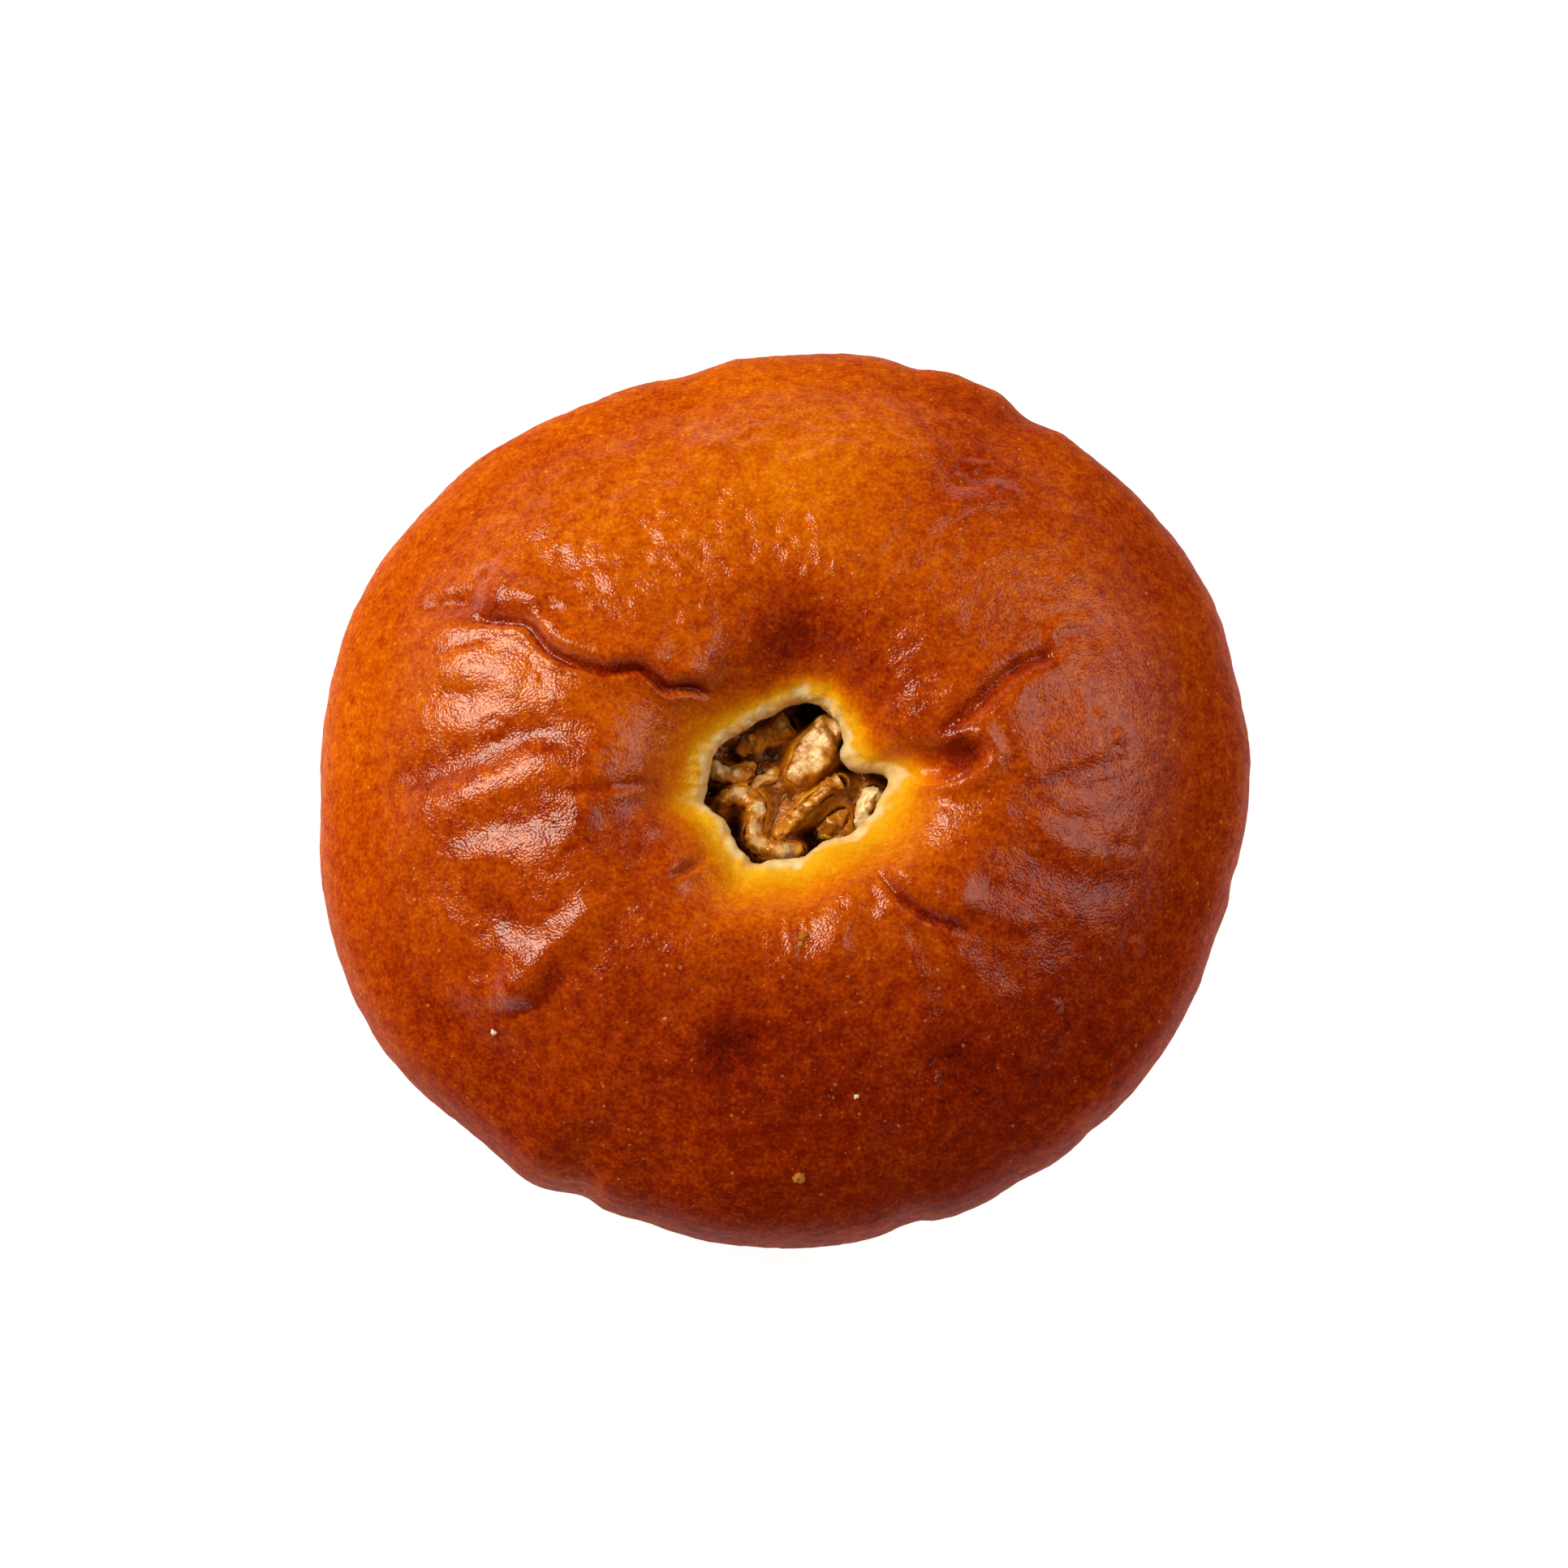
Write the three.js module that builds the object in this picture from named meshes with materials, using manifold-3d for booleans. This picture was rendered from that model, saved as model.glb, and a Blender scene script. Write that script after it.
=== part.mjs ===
// A round enriched-dough bun with a navel in its crown. The dough is a thick shell round a lens of
// sweet bean paste, the navel is a torn opening in the top of that shell, and broken walnut kernels
// are pressed into the paste where the opening shows it.
// Millimetres, +Z up. The origin is under the middle of the bun, on the surface that it rests on.
import * as THREE from "three";
import { mergeVertices } from "three/addons/utils/BufferGeometryUtils.js";
import Module from "manifold-3d";

// ---- Driving dimensions ----
const MEAN_RADIUS = 49.4; // of the plan outline, at the widest level
const CROWN_HEIGHT = 34; // top of the ring that runs round the navel
const CROWN_RADIUS = 20.5; // where that ring is highest
const WAIST_HEIGHT = 12.2; // level of the widest outline
const BASE_RADIUS = 40; // flat that stood on the baking tray
const NAVEL_RADIUS = 8.5; // nominal radius of the opening; its true edge is NAVEL_EDGE
const LIP_HEIGHT = 26.2; // edge of the dough at the opening
const FLOOR_THICKNESS = 5; // dough under the paste
const CAVITY_RADIUS = 30; // widest level of the hollow that the paste fills
const FIT_GAP = 0.3; // between pieces that touch
const TURNS = 60; // columns of faces round the bun
const WELD = 1e-4; // points closer than this are one point
const NAVEL_CENTRE = new THREE.Vector2(1.0, -1.6);

// ---- Plan shapes ----
// The outline is a circle with a few shallow lobes: how many, how deep, and the heading of one crest.
const OUTLINE_LOBES = [
  { count: 2, depth: 1.25, heading: 12 },
  { count: 3, depth: 0.3, heading: 50 },
  { count: 4, depth: 0.3, heading: 41 },
  { count: 5, depth: 0.4, heading: 6 },
  { count: 6, depth: 0.25, heading: 23 },
];

// The torn edge of the navel, anticlockwise from the notch on the right, about the navel's centre.
const NAVEL_EDGE = [
  [10.2, 0.5], [9.2, 1.5], [7.0, 2.0], [6.0, 3.1], [5.7, 4.7], [4.6, 6.5], [3.1, 8.2],
  [0.6, 8.6], [-2.4, 7.3], [-5.8, 5.4], [-7.8, 3.8], [-8.7, 1.8], [-9.2, -0.6], [-9.5, -2.2],
  [-7.6, -4.0], [-6.1, -6.3], [-4.4, -8.6], [-2.2, -8.4], [0.6, -8.0], [3.3, -6.5],
  [6.8, -4.9], [8.7, -2.6], [9.9, -0.8],
];

function outlineRadius(angle) {
  const lobe = ({ count, depth, heading }) =>
    depth * Math.cos(count * (angle - THREE.MathUtils.degToRad(heading)));
  return OUTLINE_LOBES.reduce((radius, each) => radius + lobe(each), MEAN_RADIUS);
}

const navelCurve = new THREE.CatmullRomCurve3(
  NAVEL_EDGE.map(([x, y]) => new THREE.Vector3(x, y, 0)), true, "centripetal",
);
const navelRing = navelCurve.getPoints(240).map((p) => ({
  angle: (Math.atan2(p.y, p.x) + 2 * Math.PI) % (2 * Math.PI),
  radius: Math.hypot(p.x, p.y),
}));

// Radius of the torn edge at an angle: the nearest point of the curve, as seen from its centre.
function navelRadius(angle) {
  const turn = (angle + 2 * Math.PI) % (2 * Math.PI);
  const away = (p) => Math.min(Math.abs(p.angle - turn), 2 * Math.PI - Math.abs(p.angle - turn));
  return navelRing.reduce((best, p) => (away(p) < away(best) ? p : best)).radius;
}

const outlineBox = new THREE.Box2().setFromPoints(
  Array.from({ length: TURNS }, (_, i) => {
    const angle = (i / TURNS) * 2 * Math.PI;
    return new THREE.Vector2(Math.cos(angle), Math.sin(angle)).multiplyScalar(outlineRadius(angle));
  }),
);
const outlineCentre = outlineBox.getCenter(new THREE.Vector2());

// Takes a point of the perfectly round bun to its real place: the navel's edge near the middle,
// the lobed outline further out, and a smooth change between the two.
function toRealPlan(x, y) {
  const radius = Math.hypot(x, y);
  const angle = Math.atan2(y, x);
  const outer = THREE.MathUtils.smoothstep(radius, NAVEL_RADIUS, CAVITY_RADIUS);
  const navelScale = navelRadius(angle) / NAVEL_RADIUS;
  const outlineScale = outlineRadius(angle) / MEAN_RADIUS;
  const scale = THREE.MathUtils.lerp(navelScale, outlineScale, outer);
  return new THREE.Vector2(x, y)
    .multiplyScalar(scale)
    .addScaledVector(NAVEL_CENTRE, 1 - outer)
    .addScaledVector(outlineCentre, -outer);
}

// ---- Helpers ----
const flatPoints = (pairs) => pairs.map(([r, z]) => new THREE.Vector2(r, z));

function smoothLine(pairs, steps) {
  return new THREE.SplineCurve(flatPoints(pairs)).getSpacedPoints(steps);
}

// Joins stretches of a profile that share their end points.
function joined(...stretches) {
  return stretches.flatMap((points, i) => (i ? points.slice(1) : points));
}

// A closed shape keeps only its places, with the doubled points of its seam and poles joined, so
// that it stays closed however its points are moved afterwards.
function joinedUp(geometry) {
  geometry.deleteAttribute("normal");
  geometry.deleteAttribute("uv");
  return mergeVertices(geometry, WELD);
}

// Turns a profile of (radius, height) about +Z and moves every point to its real place.
function turned(profile) {
  const geometry = joinedUp(new THREE.LatheGeometry(profile, TURNS).rotateX(Math.PI / 2));
  const places = geometry.attributes.position;
  for (let i = 0; i < places.count; i++) {
    const { x, y } = toRealPlan(places.getX(i), places.getY(i));
    places.setXY(i, x, y);
  }
  return geometry;
}

// ---- Dough ----
// The profile runs from the axis along the base, up the side, over the crown, down into the navel,
// round its lip, and back along the roof, wall and floor of the hollow that holds the paste.
const outside = smoothLine(
  [
    [BASE_RADIUS, 0], [44, 1.2], [47.1, 4.2], [48.9, 8.2], [MEAN_RADIUS, WAIST_HEIGHT],
    [48.1, 18.6], [44.5, 24.0], [39, 28.2], [32, 31.6], [25, 33.6], [CROWN_RADIUS, CROWN_HEIGHT],
    [16, 33.2], [12.4, 31.0], [10.2, 28.8], [9.0, 27.3], [NAVEL_RADIUS, LIP_HEIGHT],
  ],
  28,
);
const lip = smoothLine(
  [[NAVEL_RADIUS, LIP_HEIGHT], [8.6, 25.3], [9.2, 24.6], [10.2, 24.4]],
  3,
);
const hollow = [
  [10.2, 24.4], [14, 25.2], [19, 26.0], [24, 24.8], [28, 21.2], [CAVITY_RADIUS, 16],
  [28, 10.6], [22, 7.0], [12, 5.4], [0, FLOOR_THICKNESS],
];
const base = flatPoints([[0, 0], [14, 0], [27, 0], [BASE_RADIUS, 0]]);
const doughGeometry = turned(joined(base, outside, lip, smoothLine(hollow, 13)));

// ---- Bean paste ----
// It fills the hollow, a gap inside its wall, and its top sinks to a dish under the navel.
const pasteGeometry = turned(
  joined(
    smoothLine(
      [
        [0, FLOOR_THICKNESS + FIT_GAP], [12, 5.8], [21.8, 7.4], [27.6, 10.9],
        [CAVITY_RADIUS - FIT_GAP - 0.1, 16], [27.6, 20.8], [23.8, 24.3], [19, 25.5], [15.5, 24.9],
      ],
      13,
    ),
    smoothLine([[15.5, 24.9], [13, 23.5], [10.5, 22.5], [6, 22.0], [0, 21.9]], 6),
  ),
);

// ---- Walnut pieces ----
// Each broken piece of kernel is a lobe that follows a short spine, fatter in the middle and blunt
// at its ends. Places are about the navel's centre. radius is across, height is a share of it.
const WALNUTS = [
  {
    name: "walnut_chunk", radius: 2.1, height: 0.8,
    spine: [[0.8, 1.9, 23.2], [2.5, 3.9, 23.5], [3.9, 5.6, 23.2]],
  },
  {
    name: "walnut_rear_lobe", radius: 1.8, height: 0.7,
    spine: [[-5.0, 4.4, 21.6], [-3.1, 5.5, 22.0], [-1.4, 6.5, 21.6]],
  },
  {
    name: "walnut_left_lobe", radius: 1.2, height: 0.8,
    spine: [[-8.2, 1.6, 21.9], [-6.4, 1.3, 22.2], [-4.9, 1.9, 21.9]],
  },
  {
    name: "walnut_middle_lobe", radius: 0.8, height: 0.9,
    spine: [[-3.9, 0.5, 21.6], [-2.9, 1.2, 21.8], [-1.9, 1.7, 21.6]],
  },
  {
    name: "walnut_curl", radius: 1.1, height: 1.1,
    spine: [
      [-8.5, -2.4, 22.2], [-6.8, -1.1, 22.9], [-5.1, -0.9, 23.1], [-3.8, -2.0, 23.1],
      [-4.0, -3.7, 23.0], [-4.2, -5.2, 22.9], [-3.0, -6.6, 22.8], [-1.2, -6.9, 22.6], [0.3, -6.7, 22.4],
    ],
  },
  {
    name: "walnut_sliver", radius: 0.75, height: 1.4,
    spine: [[-1.2, -4.6, 22.5], [0.3, -3.0, 22.9], [1.8, -1.5, 23.2], [3.4, -0.4, 23.4], [4.8, 0.6, 23.4]],
  },
  {
    name: "walnut_right_flake", radius: 1.2, height: 0.8,
    spine: [[6.9, -3.0, 21.9], [7.6, -1.8, 22.3], [8.5, -0.5, 22.3]],
  },
  {
    name: "walnut_front_lobe", radius: 1.25, height: 0.8,
    spine: [[3.2, -4.4, 21.5], [4.0, -3.7, 21.8], [4.7, -3.0, 21.6]],
  },
];
const LOBE_SIDES = 12;
const END_RINGS = 3;
const RING_SPACING = 0.8; // along the spine
const LUMP_HEIGHT = 0.08; // share of the radius
const LUMPS_ROUND = 3;
const LUMPS_PER_MM = 1.9; // in radians along the spine

// A closed lobe along a spine. grow makes it larger all round, for the pocket that it leaves.
function lobeGeometry({ spine, radius, height }, grow) {
  const curve = new THREE.CatmullRomCurve3(
    spine.map(([x, y, z]) => new THREE.Vector3(x + NAVEL_CENTRE.x, y + NAVEL_CENTRE.y, z)),
  );
  const length = curve.getLength();
  const rings = Math.ceil(length / RING_SPACING);
  const capsule = joinedUp(new THREE.CapsuleGeometry(1, length, END_RINGS, LOBE_SIDES, rings));
  const places = capsule.attributes.position;
  const up = new THREE.Vector3(0, 0, 1);
  for (let i = 0; i < places.count; i++) {
    const along = places.getY(i) + length / 2;
    const share = THREE.MathUtils.clamp(along / length, 0, 1);
    const past = along - share * length;
    const ahead = curve.getTangentAt(share);
    const side = new THREE.Vector3().crossVectors(ahead, up).normalize();
    const over = new THREE.Vector3().crossVectors(side, ahead);
    const turn = Math.atan2(places.getZ(i), places.getX(i));
    const belly = 0.8 + 0.2 * Math.sin(Math.PI * share);
    const lump = 1 + LUMP_HEIGHT * Math.sin(LUMPS_PER_MM * share * length + LUMPS_ROUND * turn);
    const reach = radius * belly * lump;
    const place = curve
      .getPointAt(share)
      .addScaledVector(ahead, past * (reach + grow))
      .addScaledVector(side, places.getX(i) * (reach + grow))
      .addScaledVector(over, places.getZ(i) * (reach * height + grow));
    places.setXYZ(i, place.x, place.y, place.z);
  }
  return capsule;
}

// ---- Pockets that the walnuts press into the paste ----
const wasm = await Module();
wasm.setup();

function toSolid(geometry) {
  const vertProperties = new Float32Array(geometry.attributes.position.array);
  const triVerts = new Uint32Array(geometry.index.array);
  return new wasm.Manifold(new wasm.Mesh({ numProp: 3, vertProperties, triVerts }));
}

function toGeometry(solid) {
  const { vertProperties, triVerts } = solid.getMesh();
  return new THREE.BufferGeometry()
    .setAttribute("position", new THREE.BufferAttribute(vertProperties, 3))
    .setIndex(new THREE.BufferAttribute(triVerts, 1));
}

const pocketedPaste = WALNUTS.reduce(
  (paste, walnut) => paste.subtract(toSolid(lobeGeometry(walnut, FIT_GAP))),
  toSolid(pasteGeometry),
)
  .decompose() // a pocket may cut a crumb of paste loose, which is dropped
  .reduce((largest, body) => (body.volume() > largest.volume() ? body : largest));

// ---- The bun ----
const crust = new THREE.MeshStandardMaterial({ color: 0xb4500f, roughness: 0.35, metalness: 0 });
const paste = new THREE.MeshStandardMaterial({ color: 0x5a2d0c, roughness: 0.4, metalness: 0 });
const kernel = new THREE.MeshStandardMaterial({ color: 0xc08a4a, roughness: 0.5, metalness: 0 });

function named(name, geometry, material) {
  const mesh = new THREE.Mesh(geometry, material);
  mesh.name = name;
  return mesh;
}

const bun = new THREE.Group();
bun.add(named("dough_bun", doughGeometry, crust));
bun.add(named("bean_paste", toGeometry(pocketedPaste), paste));
for (const walnut of WALNUTS) {
  bun.add(named(walnut.name, lobeGeometry(walnut, 0), kernel));
}

export default bun;
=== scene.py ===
# A round, glazed bean paste bun: one piece of baked dough with a torn navel in its crown, the bean
# paste that fills it, and the broken walnut kernels that are pressed into the paste.
# Blender's metres, +Z up, standing on Z = 0. Lengths are written in millimetres, times MM.
import math

import bmesh
import bpy
import numpy as np
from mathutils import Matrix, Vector, noise


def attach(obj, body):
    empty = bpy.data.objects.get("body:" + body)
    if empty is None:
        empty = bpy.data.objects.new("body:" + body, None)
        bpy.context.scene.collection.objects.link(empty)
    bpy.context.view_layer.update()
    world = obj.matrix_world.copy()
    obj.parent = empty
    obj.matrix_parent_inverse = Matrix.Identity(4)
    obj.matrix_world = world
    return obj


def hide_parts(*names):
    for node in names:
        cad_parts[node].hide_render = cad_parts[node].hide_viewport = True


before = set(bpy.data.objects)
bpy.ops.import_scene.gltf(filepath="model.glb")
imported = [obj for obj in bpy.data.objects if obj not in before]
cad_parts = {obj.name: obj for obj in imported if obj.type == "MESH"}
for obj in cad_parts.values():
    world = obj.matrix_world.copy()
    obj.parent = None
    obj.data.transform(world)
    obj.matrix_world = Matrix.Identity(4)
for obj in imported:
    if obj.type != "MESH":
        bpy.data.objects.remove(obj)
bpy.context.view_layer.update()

# ---- Dough ----
# One piece of enriched dough, folded shut round the filling, brushed with egg and baked on a flat
# tray. Its skin puffed up in the oven, then sank round the navel, where it creased and tore open.
MM = 0.001
TURNS = 468  # columns of faces round the bun
MEAN_RADIUS = 49.4  # of the plan outline, at the waist
NAVEL_RADIUS = 8.5  # nominal radius of the opening
CAVITY_RADIUS = 30.0  # beyond it the bun follows its outline only
NAVEL_CENTRE = (1.0, -1.6)
# The outline is a circle with shallow lobes: how many, how deep, and the heading of one crest.
OUTLINE_LOBES = [(2, 1.25, 12), (3, 0.3, 50), (4, 0.3, 41), (5, 0.4, 6), (6, 0.25, 23)]
# The torn edge of the navel, anticlockwise from the notch on the right, about the navel's centre.
NAVEL_EDGE = [
    (10.2, 0.5), (9.2, 1.5), (7.0, 2.0), (6.0, 3.1), (5.7, 4.7), (4.6, 6.5), (3.1, 8.2),
    (0.6, 8.6), (-2.4, 7.3), (-5.8, 5.4), (-7.8, 3.8), (-8.7, 1.8), (-9.2, -0.6), (-9.5, -2.2),
    (-7.6, -4.0), (-6.1, -6.3), (-4.4, -8.6), (-2.2, -8.4), (0.6, -8.0), (3.3, -6.5),
    (6.8, -4.9), (8.7, -2.6), (9.9, -0.8),
]
# Sections of the profile, as (radius, height) from the middle of the base, over the crown, into
# the navel, and back inside along the wall of the hollow.
BASE_LINE = [(0, 0), (12, 0), (26, 0), (38, 0), (41.5, 0.15)]
OUTER_LINE = [
    (41.5, 0.15), (44.6, 1.3), (47.2, 4.2), (48.9, 8.2), (49.4, 12.2), (48.1, 18.6), (44.5, 24.0),
    (39, 28.2), (32, 31.6), (25, 33.6), (20.5, 34), (16, 33.2), (12.8, 31.1), (10.9, 29.2),
    (9.7, 28.0),
]
TORN_LINE = [(9.7, 28.0), (9.2, 27.75), (8.65, 27.2), (8.35, 26.3), (8.5, 25.2), (9.1, 24.3), (9.9, 23.8)]
HOLLOW_LINE = [
    (9.9, 23.8), (11.2, 24.1), (14, 25.2), (19, 26.0), (24, 24.8), (28, 21.2), (30, 16),
    (28, 10.6), (22, 7.0), (12, 5.4), (0, 5),
]
SKIN_STEP = 0.4  # between the rings of the glazed skin
TORN_STEP = 0.3  # between the rings of the torn wall
HIDDEN_STEP = 4.0  # between the rings of the base and the hollow


def smooth_line(points, step, closed=False):
    """Evenly spaced points, about a step apart, on a smooth curve through the given ones."""
    given = np.array(points, float)
    if closed:
        given = np.vstack([given[-1:], given, given[:2]])
    else:
        given = np.vstack([2 * given[0] - given[1], given, 2 * given[-1] - given[-2]])
    t = np.linspace(0, 1, 24, endpoint=False)[:, None]
    spans = [
        0.5 * (2 * b + (c - a) * t + (2 * a - 5 * b + 4 * c - d) * t**2 + (3 * b - a - 3 * c + d) * t**3)
        for a, b, c, d in zip(given, given[1:], given[2:], given[3:])
    ]
    curve = np.vstack([*spans, given[-2:-1]])
    run = np.concatenate([[0], np.cumsum(np.linalg.norm(np.diff(curve, axis=0), axis=1))])
    even = np.linspace(0, run[-1], max(2, round(run[-1] / step)) + 1)
    return np.stack([np.interp(even, run, axis) for axis in curve.T], axis=1)


def turned(profile, columns):
    """A bmesh of a profile of (radius, height), turned once about +Z. Its layer "along" is the run."""
    bm = bmesh.new()
    layer = bm.verts.layers.float.new("along")
    steps = np.linalg.norm(np.diff(profile, axis=0), axis=1)
    run = np.concatenate([[0], np.cumsum(steps)])
    verts = [bm.verts.new((r * MM, 0, z * MM)) for r, z in profile]
    for vert, distance in zip(verts, run):
        vert[layer] = distance
    edges = [bm.edges.new(pair) for pair in zip(verts, verts[1:])]
    bmesh.ops.spin(
        bm, geom=verts + edges, cent=(0, 0, 0), axis=(0, 0, 1), dvec=(0, 0, 0),
        angle=2 * math.pi, steps=columns, use_merge=True, use_duplicate=False,
    )
    bmesh.ops.remove_doubles(bm, verts=bm.verts, dist=1e-6)
    bmesh.ops.recalc_face_normals(bm, faces=bm.faces)
    return bm


def new_piece(name, bm, material, slot, *nodes):
    """A smooth-shaded piece that rides on the bun and stands for the given CAD nodes."""
    mesh = bpy.data.meshes.new(name)
    bm.to_mesh(mesh)
    bm.free()
    mesh.shade_smooth()
    mesh.materials.append(material)
    piece = bpy.data.objects.new(name, mesh)
    bpy.context.scene.collection.objects.link(piece)
    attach(piece, "root")
    if nodes:
        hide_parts(*nodes)
    return piece


def read_places(mesh):
    places = np.empty(len(mesh.vertices) * 3, np.float32)
    mesh.vertices.foreach_get("co", places)
    return places.reshape(-1, 3).astype(float) / MM


def write_places(mesh, places):
    mesh.vertices.foreach_set("co", (places * MM).astype(np.float32).ravel())
    mesh.update()


def read_normals(mesh):
    normals = np.empty(len(mesh.vertices) * 3, np.float32)
    mesh.vertex_normals.foreach_get("vector", normals)
    return normals.reshape(-1, 3).astype(float)


def read_share(mesh, name):
    values = np.empty(len(mesh.vertices), np.float32)
    mesh.attributes[name].data.foreach_get("value", values)
    return values.astype(float)


def write_share(mesh, name, values):
    made = mesh.attributes.get(name) or mesh.attributes.new(name, "FLOAT", "POINT")
    made.data.foreach_set("value", np.asarray(values, np.float32))


def smooth_step(low, high, value):
    share = np.clip((value - low) / (high - low), 0, 1)
    return share * share * (3 - 2 * share)


def outline_radius(heading):
    lobes = [depth * np.cos(count * (heading - math.radians(crest))) for count, depth, crest in OUTLINE_LOBES]
    return MEAN_RADIUS + sum(lobes)


navel_ring = smooth_line(NAVEL_EDGE, 0.3, closed=True)
navel_headings = np.arctan2(navel_ring[:, 1], navel_ring[:, 0]) % (2 * math.pi)
navel_order = np.argsort(navel_headings)


def navel_radius(heading):
    radii = np.hypot(navel_ring[:, 0], navel_ring[:, 1])
    return np.interp(heading, navel_headings[navel_order], radii[navel_order], period=2 * math.pi)


def real_plan(x, y):
    """Takes plan places on the perfectly round bun to their real ones on the lobed bun."""
    radius, heading = np.hypot(x, y), np.arctan2(y, x)
    outer = smooth_step(NAVEL_RADIUS, CAVITY_RADIUS, radius)
    turn = np.linspace(0, 2 * math.pi, 721)
    rim = outline_radius(turn)
    middle = [(each.max() + each.min()) / 2 for each in (rim * np.cos(turn), rim * np.sin(turn))]
    scale = (1 - outer) * navel_radius(heading) / NAVEL_RADIUS + outer * outline_radius(heading) / MEAN_RADIUS
    return (
        x * scale + NAVEL_CENTRE[0] * (1 - outer) - middle[0] * outer,
        y * scale + NAVEL_CENTRE[1] * (1 - outer) - middle[1] * outer,
    )


skin_line = smooth_line(OUTER_LINE, SKIN_STEP)
torn_line = smooth_line(TORN_LINE, TORN_STEP)
base_line = smooth_line(BASE_LINE, HIDDEN_STEP)
dough_profile = np.vstack([
    base_line[:-1], skin_line[:-1], torn_line[:-1], smooth_line(HOLLOW_LINE, HIDDEN_STEP),
])
crust = bpy.data.materials.new("baked_crust")
dough = new_piece("dough_bun_baked", turned(dough_profile, TURNS), crust, "crust", "dough_bun")

round_places = read_places(dough.data)
along = read_share(dough.data, "along")
round_radius = np.hypot(round_places[:, 0], round_places[:, 1])
heading = np.arctan2(round_places[:, 1], round_places[:, 0])
run_of = np.concatenate([[0], np.cumsum(np.linalg.norm(np.diff(dough_profile, axis=0), axis=1))])
skin_start = run_of[len(base_line) - 1]
skin_end = skin_start + np.linalg.norm(np.diff(skin_line, axis=0), axis=1).sum()
places = round_places.copy()
places[:, 0], places[:, 1] = real_plan(round_places[:, 0], round_places[:, 1])
write_places(dough.data, places)
normals = read_normals(dough.data)
plan = places[:, :2].copy()
on_skin = smooth_step(skin_start, skin_start + 4, along)
on_skin *= 1 - smooth_step(skin_end - 1, skin_end + 1, along)
on_top = on_skin * smooth_step(12, 20, places[:, 2])


FOLD_REACH = 12  # past which no fold is felt


def near_path(path):
    """For each place, the distance to a path on the plan, its side, and the run to the nearer end."""
    line = smooth_line(path, 0.8)
    around = np.all((plan > line.min(0) - FOLD_REACH) & (plan < line.max(0) + FOLD_REACH), axis=1)
    spots = plan[around]
    nearest = np.full(len(spots), 1e9)
    leftward = np.zeros(len(spots), bool)
    reach = np.zeros(len(spots))
    for count, (start, end) in enumerate(zip(line, line[1:])):
        ahead = end - start
        share = np.clip((spots - start) @ ahead / (ahead @ ahead), 0, 1)
        gap = spots - start - share[:, None] * ahead
        distance = np.hypot(gap[:, 0], gap[:, 1])
        closer = distance < nearest
        nearest[closer] = distance[closer]
        leftward[closer] = (ahead[0] * gap[:, 1] - ahead[1] * gap[:, 0])[closer] > 0
        reach[closer] = (count + share)[closer] * math.hypot(*ahead)
    length = np.linalg.norm(np.diff(line, axis=0), axis=1).sum()
    away = np.full(len(plan), 1e3)
    left = np.zeros(len(plan), bool)
    to_end = np.zeros(len(plan))
    away[around], left[around], to_end[around] = nearest, leftward, np.minimum(reach, length - reach)
    return away, left, to_end


def ridge(path, height, left_width, right_width):
    """A smooth ridge along a path, or a furrow where height is below zero."""
    away, left, _ = near_path(path)
    return height * np.exp(-((away / np.where(left, left_width, right_width)) ** 2))


def crease(path, depth, bank, bank_width, lip):
    """A cleft whose bank on the left drops steeply into it, and whose right side has a thin lip; also the
    share of painted shade on its bank.
    """
    away, left, to_end = near_path(path)
    taper = smooth_step(0, 3, to_end)
    cleft = depth * np.exp(-((away / 0.4) ** 2))
    upper = bank * (1 - np.exp(-((away / bank_width) ** 2))) * np.exp(-((away / (3.5 * bank_width)) ** 2))
    lower = lip * np.exp(-(((away - 0.8) / 0.55) ** 2))
    shaded = np.exp(-(((away - 0.2) / (0.55 * bank_width)) ** 2)) * (left | (away < 0.3))
    return taper * (np.where(left, upper, lower) - cleft), taper * shaded * min(1.0, bank)


def ripple(size, octaves, seed, stretch=(1, 1, 1)):
    """Smooth noise of about -1 to 1 over the dough, with features of a size in millimetres."""
    spots = places / (np.array(stretch) * size) + np.array([7.1, 3.3, 5.7]) * seed
    return np.array([noise.fractal(spot, 1.0, 2.0, octaves) for spot in spots.tolist()])


def radial_ripple(size, length, seed):
    """Noise that is drawn out from the navel outwards."""
    away = np.hypot(plan[:, 0] - NAVEL_CENTRE[0], plan[:, 1] - NAVEL_CENTRE[1])
    turn = np.arctan2(plan[:, 1] - NAVEL_CENTRE[1], plan[:, 0] - NAVEL_CENTRE[0])
    round_size = 20.0 / size
    spots = np.stack([
        np.cos(turn) * round_size, np.sin(turn) * round_size, away / length + seed * 5.7,
    ], axis=1)
    return np.array([noise.fractal(spot, 1.0, 2.0, 3) for spot in spots.tolist()])


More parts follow.
